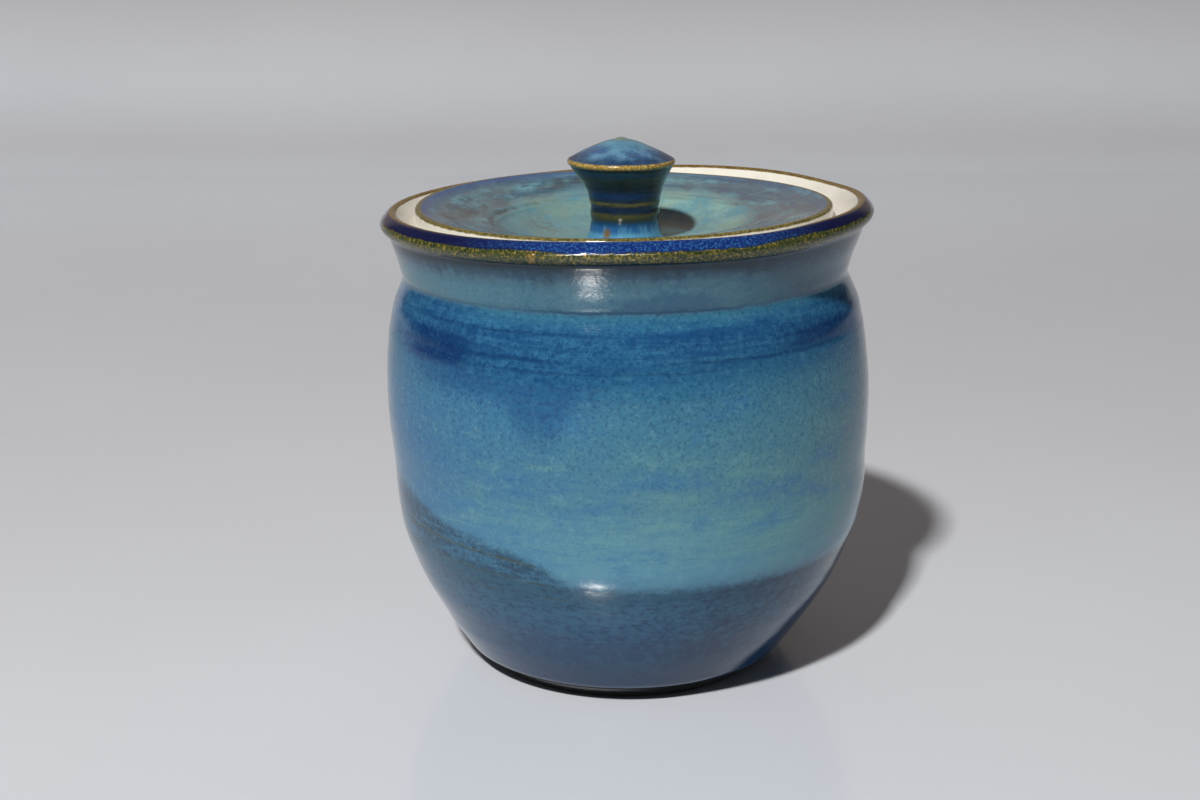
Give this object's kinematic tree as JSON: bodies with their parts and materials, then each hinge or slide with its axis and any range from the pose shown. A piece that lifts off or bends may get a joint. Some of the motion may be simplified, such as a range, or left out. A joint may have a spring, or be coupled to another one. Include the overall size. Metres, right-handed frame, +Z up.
{
  "type": "lidded jar",
  "caption": "Hand-thrown stoneware jar with a waisted collar, a drop-in saucer lid and a mushroom knob, glazed in flowing blues with a gold-brown lip, for storing and serving dry food.",
  "frame": {"origin": "middle of the foot, on the surface the jar stands on", "axes": "+Z up along the axis of the pot; -Y is the side that faces the viewer"},
  "size_m": [0.1306, 0.1306, 0.1432],
  "materials": {
    "jar_glaze": "glossy flowing glaze, cobalt at the shoulder, aqua in the middle, slate below, gold-brown where it breaks on the lip, off-white liner inside, bare clay foot ring",
    "lid_glaze": "glossy glaze, slate-blue flange and aqua dish with ochre mottling, gold-brown edge, off-white underside",
    "knob_glaze": "glossy dark cobalt glaze breaking gold-brown on the cap edge and the throwing rings, lighter blue on the dome"
  },
  "bodies": {
    "jar": {"jar_body": "jar_glaze"},
    "lid": {"lid": "lid_glaze", "lid_knob": "knob_glaze"}
  },
  "joints": [
    {"name": "lid_lift", "type": "slide", "parent": "jar", "child": "lid", "axis": [0, 0, 1], "range_m": [0, 0.08]}
  ]
}
